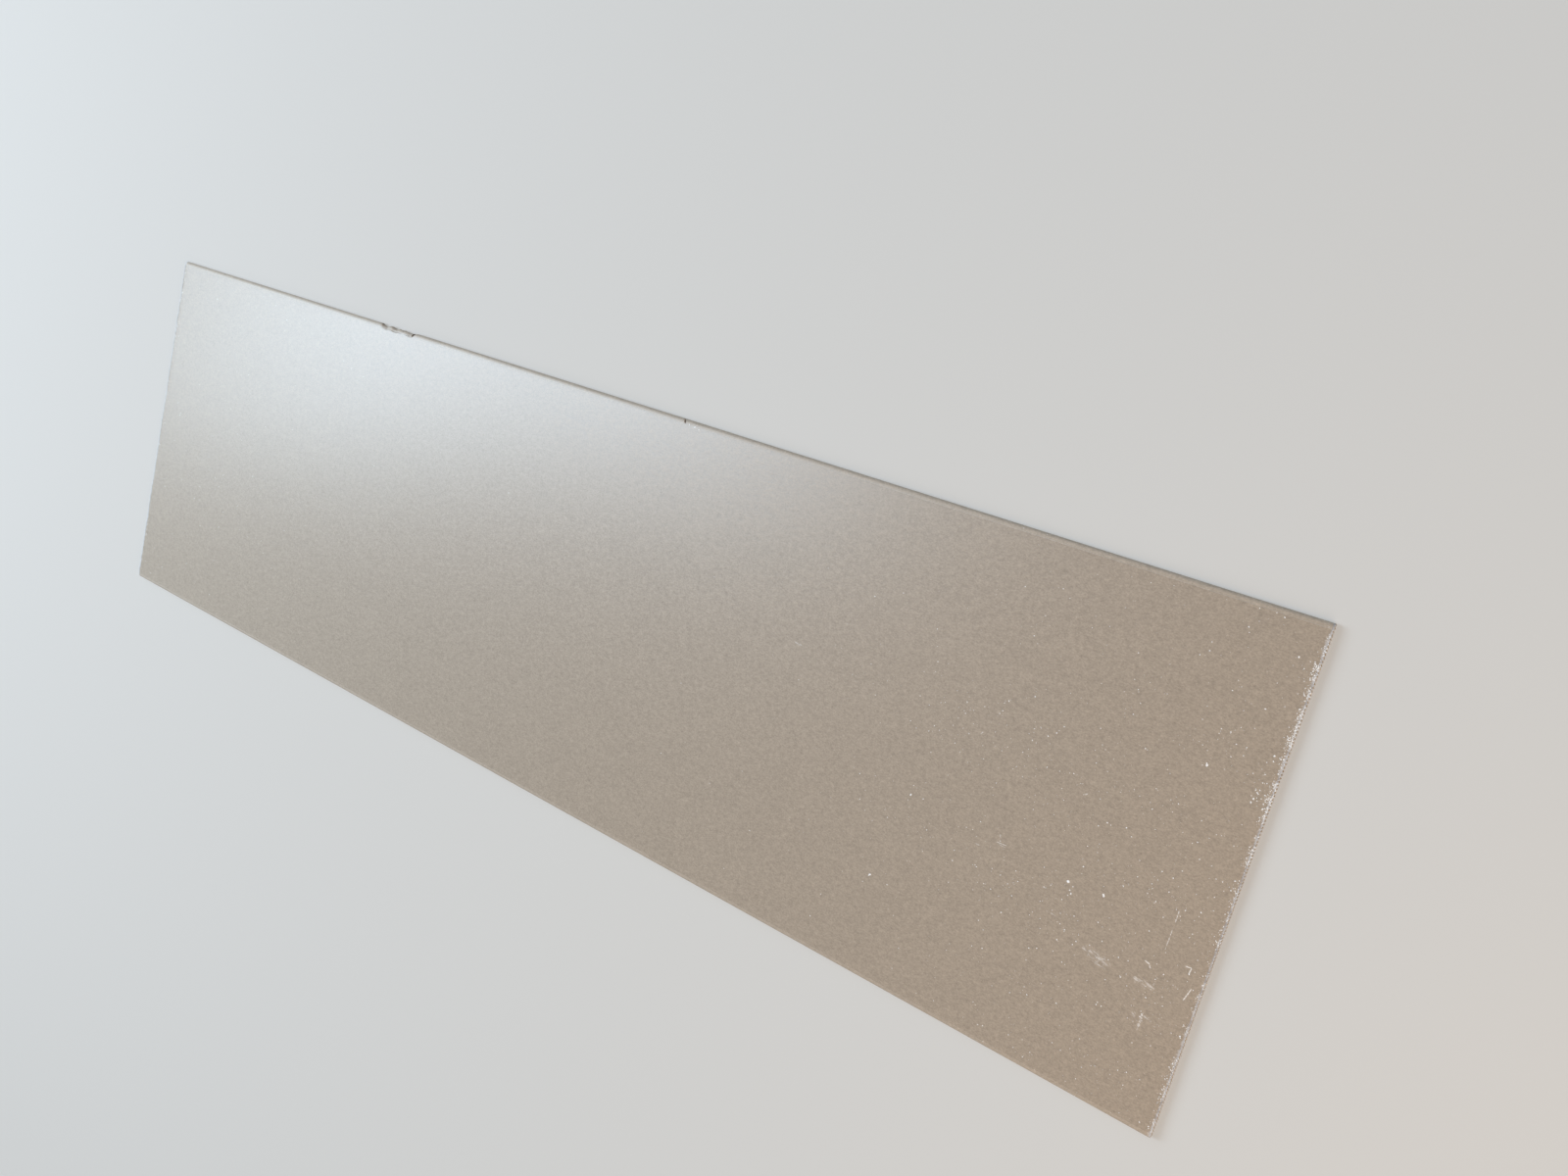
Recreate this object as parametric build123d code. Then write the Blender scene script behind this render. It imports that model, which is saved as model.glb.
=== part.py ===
from build123d import *
import os

# Drywall sheet: one plasterboard panel with round long edges, cut to length by a toothed knife.
# Sizes are in millimetres. The sheet lies flat: +X runs along its length, +Y across its width
# and +Z out of its upper side. The origin is the middle of its underside.
# The upper side is the back of the board. The face paper covers the underside, goes up round
# each long edge and a little way over the back, where the back liner is glued on top of it.

# The sheet as sold
sheet_length = 2000.0
sheet_width = 600.0
sheet_thickness = 9.5

# Long edges: a full half round, then a strip of folded face paper, then the back liner
folded_strip_width = 1.5   # flat part of the strip that the back liner leaves showing
liner_step = 0.4           # height of the back liner above that strip

# Ends, as the toothed knife leaves them
tooth_pitch = 4.0
tooth_depth = 1.2

# How far the block under the toothed outline runs past the faces and long edges, to cut cleanly
cut_overlap = 2.0


def cross_section():
    """The sheet's section across its width: flat underside, half-round edges, raised liner."""
    edge_height = sheet_thickness - liner_step
    edge_radius = edge_height / 2
    flat_y = sheet_width / 2 - edge_radius
    liner_y = flat_y - folded_strip_width
    with BuildSketch(Plane.YZ) as section:
        with BuildLine():
            Line((-flat_y, 0), (flat_y, 0))
            CenterArc((flat_y, edge_radius), edge_radius, start_angle=-90, arc_size=180)
            Polyline(
                (flat_y, edge_height),
                (liner_y, edge_height),
                (liner_y, sheet_thickness),
                (-liner_y, sheet_thickness),
                (-liner_y, edge_height),
                (-flat_y, edge_height))
            CenterArc((-flat_y, edge_radius), edge_radius, start_angle=90, arc_size=180)
        make_face()
    return section.sketch


def toothed_end(side):
    """Points of one cut end, from -Y to +Y, a little past each long edge. side is 1 or -1."""
    tooth_count = max(1, round(sheet_width / tooth_pitch))
    fitted_pitch = sheet_width / tooth_count
    edge_y = sheet_width / 2
    tip_x = sheet_length / 2
    root_x = tip_x - tooth_depth
    points = [(side * root_x, -edge_y - cut_overlap)]
    for tooth in range(tooth_count):
        root_y = tooth * fitted_pitch - edge_y
        points.append((side * root_x, root_y))
        points.append((side * tip_x, root_y + fitted_pitch / 2))
    points.append((side * root_x, edge_y))
    points.append((side * root_x, edge_y + cut_overlap))
    return points


def plan_outline():
    """The cut seen from above: a row of teeth along each end, and clear of the long edges."""
    right_end = toothed_end(1)
    left_end = toothed_end(-1)
    left_end.reverse()
    with BuildSketch(Plane.XY.offset(-cut_overlap)) as outline:
        with BuildLine():
            Polyline(*right_end, *left_end, close=True)
        make_face()
    return outline.sketch


def drywall_sheet():
    """The extruded section, kept where the toothed outline covers it."""
    board = extrude(cross_section(), sheet_length / 2, both=True)
    block = extrude(plan_outline(), sheet_thickness + 2 * cut_overlap)
    return board & block


os.makedirs("parts", exist_ok=True)
sheet = drywall_sheet()
sheet.label = "drywall_sheet"
export_step(sheet, "parts/drywall_sheet.step")
print("drywall_sheet", sheet.bounding_box().size, "volume", round(sheet.volume))
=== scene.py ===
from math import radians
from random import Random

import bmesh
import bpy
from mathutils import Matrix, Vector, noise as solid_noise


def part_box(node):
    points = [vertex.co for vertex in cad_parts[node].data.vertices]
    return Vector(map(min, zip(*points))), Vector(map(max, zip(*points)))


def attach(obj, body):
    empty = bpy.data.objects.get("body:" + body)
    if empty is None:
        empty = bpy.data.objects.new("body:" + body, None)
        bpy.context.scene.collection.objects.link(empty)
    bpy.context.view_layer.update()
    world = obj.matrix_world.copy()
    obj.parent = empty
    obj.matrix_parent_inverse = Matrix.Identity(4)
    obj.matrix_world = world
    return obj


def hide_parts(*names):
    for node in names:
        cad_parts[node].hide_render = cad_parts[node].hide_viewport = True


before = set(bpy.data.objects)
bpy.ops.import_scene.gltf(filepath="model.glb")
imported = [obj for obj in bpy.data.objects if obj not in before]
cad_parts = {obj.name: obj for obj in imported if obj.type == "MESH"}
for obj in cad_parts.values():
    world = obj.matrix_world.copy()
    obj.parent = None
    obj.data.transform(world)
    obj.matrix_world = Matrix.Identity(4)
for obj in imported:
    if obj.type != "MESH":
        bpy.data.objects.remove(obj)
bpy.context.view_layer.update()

# %% [markdown]
# A drywall sheet is a slab of gypsum between two paper liners. It is a plain thing, so its look
# rests on small ones: paper that wraps the long edges, a seam where the back liner laps over it,
# ends chopped by a toothed knife, the white grit that such a cut leaves, and the knocks and rubs
# that a sheet collects on its way to the wall.
# The lesson starts with the sheet's own measures. The outside box comes from the loaded frame,
# and the few sizes that a box can't tell are named here, in metres.

mm = 0.001
low, high = (Vector(corner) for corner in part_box("drywall_sheet"))
sheet_length = high.x - low.x
sheet_width = high.y - low.y
sheet_thickness = high.z - low.z
liner_step = 0.4 * mm
folded_strip_width = 1.5 * mm
tooth_pitch = 4.0 * mm
tooth_depth = 1.2 * mm
edge_radius = (sheet_thickness - liner_step) / 2
flat_half_width = sheet_width / 2 - edge_radius
liner_half_width = flat_half_width - folded_strip_width
loose_height = 0.35 * mm
print(f"sheet {sheet_length:.3f} x {sheet_width:.3f} x {sheet_thickness:.4f} m")
print(f"half-round edge of radius {edge_radius / mm:.2f} mm, liner to {liner_half_width / mm:.2f} mm")

# %% [markdown]
# The camera looks down on the sheet from a little past its right end and its far long edge,
# 1.3 m up, through a wide lens. Its place and its three angles came from the vanishing points
# of the sheet's edges, so the sheet fills the frame here as it does in the photograph.
# A ray through a pixel then tells which point of the upper face that pixel shows. The cells on
# damage and dust use it, so that a mark that was found in the photograph lands where it should.

# %% Camera
photo_width = 1600
photo_height = 1200
focal_length_px = 1203
camera_data = bpy.data.cameras.new("camera")
camera = bpy.data.objects.new("camera", camera_data)
bpy.context.scene.collection.objects.link(camera)
camera_data.sensor_width = 36
camera_data.lens = camera_data.sensor_width * focal_length_px / photo_width
camera.location = (1.103, 0.4247, 1.2987)
camera.rotation_euler = (radians(-2.579), radians(31.152), radians(17.009))
bpy.context.scene.camera = camera


def on_sheet(pixel):
    """The point of the sheet's upper face that a pixel of the photograph shows."""
    across = (pixel[0] - photo_width / 2) / focal_length_px
    upward = (photo_height / 2 - pixel[1]) / focal_length_px
    ray = camera.rotation_euler.to_matrix() @ Vector((across, upward, -1))
    return camera.location + ray * ((sheet_thickness - camera.location.z) / ray.z)


print(f"lens {camera_data.lens:.2f} mm")
print("middle of the picture shows", [round(value, 3) for value in on_sheet((800, 600))])

# %% [markdown]
# Materials and shapes below are both built from nodes. A long row of Math nodes is hard to read
# when each is written as a call, so the output of a node is wrapped in a small class here. A sum
# with it, such as a * b + c, then adds the Math nodes to the same tree, and the later cells read
# like plain arithmetic.

# %% Sums made of nodes
class Wire:
    """The output of a node. Each sign in a sum with it adds a Math node to its tree."""

    def __init__(self, socket):
        self.socket = socket
        self.tree = socket.id_data

    def __add__(self, other):
        return maths("ADD", self, other)

    def __sub__(self, other):
        return maths("SUBTRACT", self, other)

    def __rsub__(self, other):
        return maths("SUBTRACT", other, self)

    def __mul__(self, other):
        return maths("MULTIPLY", self, other)

    def __truediv__(self, other):
        return maths("DIVIDE", self, other)

    def __rtruediv__(self, other):
        return maths("DIVIDE", other, self)

    def __pow__(self, other):
        return maths("POWER", self, other)

    def __abs__(self):
        return maths("ABSOLUTE", self)

    def __gt__(self, other):
        return maths("GREATER_THAN", self, other)

    def __lt__(self, other):
        return maths("LESS_THAN", self, other)


def feed(socket, value):
    """Gives an input the output of another node, or else a plain value such as a number."""
    if isinstance(value, Wire):
        socket.id_data.links.new(value.socket, socket)
    else:
        socket.default_value = value


def add_node(tree, kind, inputs=(), **settings):
    """A new node of one kind, with its properties set and its inputs fed."""
    node = tree.nodes.new(kind)
    for name, value in settings.items():
        setattr(node, name, value)
    for name, value in dict(inputs).items():
        feed(node.inputs[name], value)
    return node


def wired(tree, kind, output, inputs=(), **settings):
    """One output of a new node."""
    return Wire(add_node(tree, kind, inputs, **settings).outputs[output])


def tree_of(values):
    """The tree of the first output among some values."""
    return next(value.tree for value in values if isinstance(value, Wire))


def maths(operation, *values):
    """The output of one Math node."""
    return wired(tree_of(values), "ShaderNodeMath", 0, enumerate(values), operation=operation)


def larger(first, *others):
    """The largest of some numbers."""
    for other in others:
        first = maths("MAXIMUM", first, other)
    return first


# %% [markdown]
# Vectors, textures, mixed colours and groups need nodes of other kinds. Each gets a helper that
# takes what goes in and gives what comes out, so the later cells seldom have to name a socket.

# %% Helpers for other nodes
def vectors(operation, *values):
    """The output of one Vector Math node: a number for a dot product, a length or a distance."""
    output = "Value" if operation in ("DOT_PRODUCT", "LENGTH", "DISTANCE") else "Vector"
    return wired(tree_of(values), "ShaderNodeVectorMath", output, enumerate(values),
                 operation=operation)


def stretched(vector, *factors):
    """A vector with each of its three numbers times a factor of its own."""
    return vectors("MULTIPLY", vector, factors)


def scaled(vector, factor):
    """A vector times one number."""
    return wired(vector.tree, "ShaderNodeVectorMath", "Vector", {0: vector, "Scale": factor},
                 operation="SCALE")


def turned(vector, degrees):
    """A vector turned about the Z axis."""
    return wired(vector.tree, "ShaderNodeVectorRotate", 0,
                 {"Vector": vector, "Angle": radians(degrees)}, rotation_type="Z_AXIS")


def split(vector):
    """The three numbers of a vector."""
    node = add_node(vector.tree, "ShaderNodeSeparateXYZ", {0: vector})
    return [Wire(output) for output in node.outputs]


def joined(*values):
    """A vector made of two or three numbers."""
    return wired(tree_of(values), "ShaderNodeCombineXYZ", 0, enumerate(values))


def ramp(value, start, end, low_value=0, high_value=1):
    """A number that goes smoothly from low_value at start to high_value at end."""
    return wired(value.tree, "ShaderNodeMapRange", "Result",
                 {"Value": value, "From Min": start, "From Max": end, "To Min": low_value,
                  "To Max": high_value}, interpolation_type="SMOOTHSTEP")


def noise(vector, scale, detail=2, roughness=0.5):
    """The grey output of a Noise texture, around 0.5."""
    return wired(vector.tree, "ShaderNodeTexNoise", 0,
                 {"Vector": vector, "Scale": scale, "Detail": detail, "Roughness": roughness})


def swing(value, amount):
    """A noise value of 0.5 becomes 0, and the rest swings by amount to either side."""
    return (value - 0.5) * amount


def voronoi(vector, scale, **settings):
    """Distance to the middle of a random cell, and a random colour for that cell."""
    outputs = add_node(vector.tree, "ShaderNodeTexVoronoi", {"Vector": vector, "Scale": scale},
                       **settings).outputs
    return Wire(outputs["Distance"]), Wire(outputs["Color"])


def blended(factor, first, second, mode="MIX"):
    """Two colours mixed by a factor."""
    inputs = {0: factor, 6: first, 7: second}
    return wired(tree_of(inputs.values()), "ShaderNodeMix", 2, inputs, data_type="RGBA",
                 blend_type=mode)


def wires(sockets):
    """A node's outputs by their names."""
    return {label: Wire(socket) for label, socket in sockets.items()}


def new_group(name, kind, inputs, outputs):
    """A node group with these sockets. Gives the tree, what it is given and where results go."""
    tree = bpy.data.node_groups.new(name, kind)
    for in_out, sockets in (("INPUT", inputs), ("OUTPUT", outputs)):
        for label, socket_type in sockets.items():
            tree.interface.new_socket(label, in_out=in_out, socket_type="NodeSocket" + socket_type)
    given = wires(add_node(tree, "NodeGroupInput").outputs)
    return tree, given, add_node(tree, "NodeGroupOutput").inputs


def placed_group(group, **values):
    """The outputs of a group with its inputs set. Spaces in their names are underscores here."""
    inputs = {label.replace("_", " "): value for label, value in values.items()}
    return wires(add_node(tree_of(values.values()), "ShaderNodeGroup", inputs,
                          node_tree=group).outputs)


# %% [markdown]
# Both papers on the sheet are recycled board. Under the eye such paper isn't one colour: the pulp
# clots into clouds, single fibres lie mostly along the web, and pale flecks of older paper show.
# This could be painted, but it must run on over two metres without a repeat, so a node group makes
# it from the position on the sheet. Fibres and flecks are flat patterns, so they take a position in
# which height leans outwards, and the round edges don't smear them. The group gives a tone to
# multiply the colour by, a mask of the flecks, and a shallow relief in metres that breaks the sheen.

# %% Group: recycled paper
fibre_angles = (14, -23)
fleck_share = 0.07


def dots(vector, scale):
    """A round dot in each cell of a flat pattern, and a random number for each."""
    distance, colour = voronoi(vector, scale, voronoi_dimensions="2D")
    return ramp(distance, 0.11, 0.05), split(colour)[0]


def strands(position, degrees, scale, length):
    """Single fibres as short dashes at an angle, each lighter or darker than the paper."""
    dash, shade = dots(stretched(turned(position, degrees), 1 / length, 1, 1), scale)
    return dash * (shade - 0.42)


def paper_group():
    """Tone, flecks and relief of recycled liner paper."""
    tree, given, result = new_group(
        "recycled_paper", "ShaderNodeTree",
        {"Position": "Vector"}, {"Tone": "Float", "Flecks": "Float", "Relief": "Float"})
    position = given["Position"]
    along_web = stretched(position, 0.7, 1, 1)
    clouds = noise(along_web, scale=34)
    clots = noise(along_web, scale=190, roughness=0.6)
    grain = noise(along_web, scale=560, roughness=0.7)
    tone = swing(clouds, 0.06) + swing(clots, 0.34) + swing(grain, 0.75)
    x, y, z = split(position)
    lean = ramp(y, -sheet_width / 2, sheet_width / 2, -1, 1)
    unrolled = joined(x, y - lean * z)
    for degrees in fibre_angles:
        tone = strands(unrolled, degrees, scale=640, length=7) * 0.6 + tone
    feed(result["Tone"], tone + 1)
    dot, draw = dots(unrolled, scale=150)
    feed(result["Flecks"], dot * (draw > 1 - fleck_share))
    feed(result["Relief"], swing(clots, 0.07 * mm) + swing(grain, 0.05 * mm))
    return tree


recycled_paper = paper_group()
print("paper group", len(recycled_paper.nodes), "nodes")

# %% [markdown]
# Sheets that slide over each other and over grit get rubbed. Such a mark is a short pale line or a
# pale patch, where the top fibres stand up and hold dust. Each is a straight stroke here: a group
# measures, seen from above, how far a point is from the line between two ends, and thins the stroke
# towards both. A ragged noise then decides how much of it caught, so no stroke is a plain bar. It is
# drawn out along the way the sheets slid, and so a wide rub breaks up into fine parallel streaks.

# %% Group: rubbed stroke, also used for painted shade
def stroke_group():
    """Mask of a stroke between two points, broken up by a noise that all strokes share."""
    tree, given, result = new_group(
        "rub_and_shade_stroke", "ShaderNodeTree",
        {"Position": "Vector", "Ragged": "Float", "Start": "Vector", "End": "Vector",
         "Width": "Float", "Strength": "Float"},
        {"Mask": "Float"})
    strength = given["Strength"]
    run = vectors("SUBTRACT", given["End"], given["Start"])
    offset = vectors("SUBTRACT", given["Position"], given["Start"])
    share = vectors("DOT_PRODUCT", offset, run) / vectors("DOT_PRODUCT", run, run)
    share = wired(tree, "ShaderNodeClamp", 0, {"Value": share})
    distance = vectors("DISTANCE", offset, scaled(run, share))
    taper = (share * 2 - 1) ** 4 * -0.36 + 0.6
    middle = ramp(distance, given["Width"] * taper, 0)
    caught = middle * (strength * 0.72 + 0.2) + swing(given["Ragged"], 2.8)
    mask = ramp(caught, 0.3, 0.8) * ramp(middle, 0, 0.25)
    feed(result["Mask"], mask * (strength * 0.6 + 0.4))
    return tree


rub_and_shade_stroke = stroke_group()
print("stroke group", len(rub_and_shade_stroke.nodes), "nodes")

# %% [markdown]
# A knife that presses through gypsum leaves fine white powder. It lies on the paper for a few
# millimetres from each cut end and thins out inwards in patches. One more group makes its mask,
# with the sheet's half length and the reach of the dust as inputs.

# %% Group: cutting dust
def dust_group():
    """Mask of gypsum powder near the two cut ends."""
    tree, given, result = new_group(
        "cutting_dust", "ShaderNodeTree",
        {"Position": "Vector", "Half Length": "Float", "Reach": "Float"}, {"Mask": "Float"})
    position = given["Position"]
    from_end = given["Half Length"] - abs(split(position)[0])
    patches = noise(position, scale=90, detail=3, roughness=0.6)
    specks = noise(position, scale=900, roughness=0.6)
    reach = given["Reach"] * ramp(patches, 0.35, 0.65, 0.4, 1.5)
    body = ramp(from_end, reach, reach * 0.2)
    settled = body * 0.75 + swing(specks, 1.6)
    feed(result["Mask"], body * ramp(settled, 0.15, 0.6))
    return tree


cutting_dust = dust_group()
print("dust group", len(cutting_dust.nodes), "nodes")

# %% [markdown]
# The marks themselves are some thirty places found in the photograph. They are kept as
# pixels, because that is where they were read, and on_sheet turns each into a place in metres.
# A stroke has two ends, a width in millimetres and a strength from 0 to 1. Pale strokes are
# raised fibres and dust. Dark ones are painted shade in the folds, gap and creases of the crushed
# edge and inside the tear and the pit, and one is a darker patch on the crushed edge.

# %% Rubs and scratches on the upper face, and painted shade at the dent, the tear and the pit
pale_strokes = {
    "long_scratch_upper": ((1203.5, 929), (1199, 942), 1.8, 0.74),
    "long_scratch_lower": ((1197, 947), (1189, 969), 1.8, 0.70),
    "streak": ((1168, 980), (1173, 984), 2.8, 1.0),
    "streak_tail": ((1173, 985), (1174, 988), 2.2, 0.9),
    "hook_top": ((1210, 986), (1216, 988), 1.9, 1.0),
    "hook_side": ((1216, 988), (1213, 994), 2.3, 1.0),
    "slant": ((1207, 1021), (1215.6, 1009.5), 2.3, 1.0),
    "twin_upper": ((1017, 859), (1027, 863), 1.6, 0.90),
    "twin_lower": ((1019, 861.5), (1026, 865), 1.3, 0.70),
    "faint_dash": ((991, 858), (1000, 863), 2.0, 0.45),
    "faint_run": ((1067, 929), (1082, 937), 2.4, 0.45),
    "small_arc": ((1105, 811), (1110, 810), 1.8, 0.70),
    "wide_scuff": ((1106, 968), (1131, 984), 19.0, 0.38),
    "scuff_streak": ((1119, 976), (1129, 983), 4.0, 0.55),
    "scuff_line": ((1114, 980), (1128, 989), 2.0, 0.55),
    "far_scuff": ((1157, 997), (1177, 1009), 14.0, 0.38),
    "far_scuff_rise": ((1174, 1010), (1179, 1001), 5.0, 0.48),
    "crossed_left": ((1155, 1033), (1158, 1037), 8.0, 0.50),
    "crossed_down": ((1166, 1034), (1160, 1051), 5.0, 0.55),
    "crossed_right": ((1167, 1037), (1175, 1042), 7.0, 0.42),
    "upper_rub": ((811, 655), (818, 659), 5.0, 0.50),
}
painted_shade_strokes = {
    # Painted shade: shadows in the folds and gap of the crushed edge, shade along its creases
    "left_fold_shadow": ((388.6, 329.6), (394.2, 333.0), 2.6, 0.85),
    "second_fold_shadow": ((399.2, 334.0), (404.0, 335.4), 2.2, 0.55),
    # A darker patch on the crushed edge
    "dark_patch_on_crushed_edge": ((409.0, 337.4), (421.0, 341.2), 3.2, 0.42),
    "crease_shade_left": ((389, 333.3), (396.7, 336.7), 2.0, 0.50),
    "crease_shade_middle": ((396.7, 336.7), (410, 341), 2.0, 0.45),
    "crease_shade_right": ((410, 341), (419, 343.9), 2.0, 0.55),
    # Painted shade inside the tear and the pit
    "tear": ((420.0, 343.2), (423.9, 338.9), 5.0, 1.0),
    "pit_shadow": ((699.1, 431.4), (698.8, 429.0), 3.0, 1.0),
}


def flat_place(pixel):
    """A pixel's place seen from above, at no height."""
    place = on_sheet(pixel)
    return (place.x, place.y, 0)


def stroke_masks(position, ragged, strokes):
    """All strokes of a kind, the strongest at each point."""
    masks = [placed_group(rub_and_shade_stroke, Position=position, Ragged=ragged, Start=flat_place(start),
                          End=flat_place(end), Width=width * mm, Strength=strength)["Mask"]
             for start, end, width, strength in strokes.values()]
    return larger(*masks)


print(len(pale_strokes), "pale and", len(painted_shade_strokes), "dark strokes")

# %% [markdown]
# The liner's material starts from two colours. The back liner, which is the upper side here, is a
# greyish taupe. The face paper is a little yellower. It covers the underside, the round edges and
# the narrow strip that the back liner leaves bare. The raw edge of the back liner shows paler
# fibres. Over that come the paper's tone, the pale strokes, dark strokes of painted shade, the
# cutting dust and a cooler bruise where the knife pressed the paper. Paper has no metal or coat in
# it. It is a little glossy from the rollers at the mill, and folds, rubs and dust take that gloss away.

# %% Colours and gloss of the paper
taupe = (0.348, 0.280, 0.214, 1)
tan = (0.389, 0.317, 0.245, 1)
raw_fibre = (0.47, 0.40, 0.33, 1)
bruised = (0.325, 0.307, 0.305, 1)
gypsum_white = (0.64, 0.635, 0.635, 1)
rubbed_white = (0.70, 0.65, 0.60, 1)
# Near-black brown of the painted shade in the dent, the tear and the pit
painted_shade_brown = (0.055, 0.042, 0.033, 1)
paper_roughness = 0.32
edge_roughness = 0.44
dusty_roughness = 0.85
bruise_reach = 3.4 * mm
dust_reach = 5.0 * mm
sliding_angle = -16


# %% Start of a material
def new_material(name):
    """A material with an empty tree but for its output and one Principled shader."""
    material = bpy.data.materials.new(name)
    material.use_nodes = True
    tree = material.node_tree
    tree.nodes.clear()
    shader = add_node(tree, "ShaderNodeBsdfPrincipled")
    add_node(tree, "ShaderNodeOutputMaterial", {"Surface": Wire(shader.outputs[0])})
    return material, tree, shader.inputs


def object_position(tree):
    """The position on the object."""
    return wired(tree, "ShaderNodeTexCoord", "Object")


def bump(height):
    """A normal from a relief in metres."""
    return wired(height.tree, "ShaderNodeBump", 0, {"Distance": 1, "Height": height})


# %% Material: liner paper
def liner_material():
    """Paper of the sheet: back liner on top, face paper on the rest, marks, painted shade and dust over
    both.
    """
    material, tree, surface = new_material("liner_finish")
    position = object_position(tree)
    along, across, height = split(position)
    paper = placed_group(recycled_paper, Position=position)
    dust = placed_group(cutting_dust, Position=position, Half_Length=sheet_length / 2,
                        Reach=dust_reach)["Mask"]
    on_top = ramp(height, edge_radius / 2, edge_radius)

    # Which paper shows: the back liner lies inside its own edge on the upper side only
    past_liner = abs(across) - liner_half_width
    face_paper = larger(ramp(past_liner, -0.1 * mm, 0.1 * mm), 1 - on_top)
    colour = blended(face_paper, taupe, tan)
    liner_edge = ramp(abs(past_liner), 0.5 * mm, 0.1 * mm) * on_top
    colour = blended(liner_edge * 0.7, colour, raw_fibre)

    # Bruise of the knife
    from_end = sheet_length / 2 - abs(along)
    bruise = ramp(from_end, bruise_reach, bruise_reach * 0.7)
    colour = blended(bruise * 0.8, colour, bruised)

    # Tone of the pulp, then marks, painted shade and dust
    tone = joined(paper["Tone"], paper["Tone"], paper["Tone"])
    colour = blended(1, colour, tone, "MULTIPLY")
    colour = blended(paper["Flecks"] * 0.5, colour, raw_fibre)
    seen_flat = stretched(position, 1, 1, 0)
    drawn_out = stretched(turned(seen_flat, -sliding_angle), 0.3, 1, 1)
    ragged = noise(drawn_out, scale=420, detail=4, roughness=0.75)
    # Dark strokes paint shade into the dent's folds and creases, the tear and the pit
    painted_shade = stroke_masks(seen_flat, ragged, painted_shade_strokes) * ramp(height, 0.5 * mm, 1.5 * mm)
    colour = blended(painted_shade, colour, painted_shade_brown)
    rubbed = stroke_masks(seen_flat, ragged, pale_strokes) * on_top
    colour = blended(rubbed, colour, rubbed_white)
    colour = blended(dust * 0.5, colour, gypsum_white)
    feed(surface["Base Color"], colour)

    dull = larger(rubbed, dust, painted_shade, bruise)
    clean = ramp(face_paper, 0, 1, paper_roughness, edge_roughness)
    uneven = (paper["Tone"] - 1) * 0.2 + clean
    feed(surface["Roughness"], ramp(dull, 0, 1, uneven, dusty_roughness))
    feed(surface["Normal"], bump(paper["Relief"]))
    print(material.name, len(tree.nodes), "nodes")
    return material


liner = liner_material()

# %% [markdown]
# The core shows only at the cut ends and where the sheet is broken. Gypsum board is foamed, so the
# cut face is a chalky, faintly warm white full of small round pores, rough with crystals and with
# no gloss at all. The two papers show as thin darker lines along its rims. How deep a point lies
# under the paper is known when the shape is made, so the shape carries it along as an attribute
# named skin_depth, and the material reads that.

# %% Material: gypsum core
core_white = (0.66, 0.64, 0.61, 1)
core_shade = (0.52, 0.495, 0.465, 1)
pore_shade = (0.30, 0.28, 0.26, 1)
paper_rim = 0.45 * mm


def core_material():
    """Foamed gypsum with pores darkened by painted shade, crystals, and a line of paper along its rim.
    """
    material, tree, surface = new_material("core_finish")
    position = object_position(tree)
    distance, draw = voronoi(position, scale=1300)
    pore_size = split(draw)[1] ** 2 * 0.42 + 0.06
    pit = ramp(distance, pore_size, pore_size * 0.4)
    patches = noise(position, scale=240, detail=3, roughness=0.6)
    crystals = noise(position, scale=2600, roughness=0.7)
    colour = blended(ramp(patches, 0.35, 0.7), core_shade, core_white)
    # Painted shade darkens the pores
    colour = blended(pit * 0.45, colour, pore_shade)
    depth = wired(tree, "ShaderNodeAttribute", "Fac", attribute_name="skin_depth")
    torn = depth + swing(noise(position, scale=700), 0.5 * mm)
    colour = blended(ramp(torn, paper_rim, paper_rim * 0.8), colour, raw_fibre)
    feed(surface["Base Color"], colour)
    feed(surface["Roughness"], ramp(crystals, 0.3, 0.7, 0.85, 0.97))
    relief = swing(patches, 0.25 * mm) + swing(crystals, 0.10 * mm) - pit * (0.2 * mm)
    feed(surface["Normal"], bump(relief))
    print(material.name, len(tree.nodes), "nodes")
    return material


core = core_material()

# %% [markdown]
# The shapes come next. Trees of Geometry Nodes grow what follows a rule or comes in hundreds, and
# all of them end alike: instances become real, heights are kept between the sheet's underside and
# a hair over its top, and the material is set. A tree runs as a modifier on an object whose own
# mesh is empty. Its result is copied to a plain mesh, so the finished piece needs no modifier.

# %% Growing a mesh from a tree
def stored(tree, label, more_than):
    """Where a stored number is more than a limit."""
    return wired(tree, "GeometryNodeInputNamedAttribute", "Attribute", {"Name": label},
                 data_type="FLOAT") > more_than


def finish_tree(geometry, output, material, cut_material=None):
    """Ends a tree in Realize Instances and Set Material, with another material on cut faces."""
    tree = geometry.tree
    real = wired(tree, "GeometryNodeRealizeInstances", 0, {0: geometry})

    # Nothing goes below the underside, and loose things stay low over the top
    along, across, height = split(wired(tree, "GeometryNodeInputPosition", 0))
    height = maths("MINIMUM", larger(height, 0), sheet_thickness + loose_height)
    level = wired(tree, "GeometryNodeSetPosition", 0,
                  {"Geometry": real, "Position": joined(along, across, height)})
    painted = wired(tree, "GeometryNodeSetMaterial", 0, {"Geometry": level, "Material": material})
    if cut_material:
        painted = wired(tree, "GeometryNodeSetMaterial", 0,
                        {"Geometry": painted, "Selection": stored(tree, "cut_face", 0.5),
                         "Material": cut_material})
    feed(output, painted)


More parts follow.
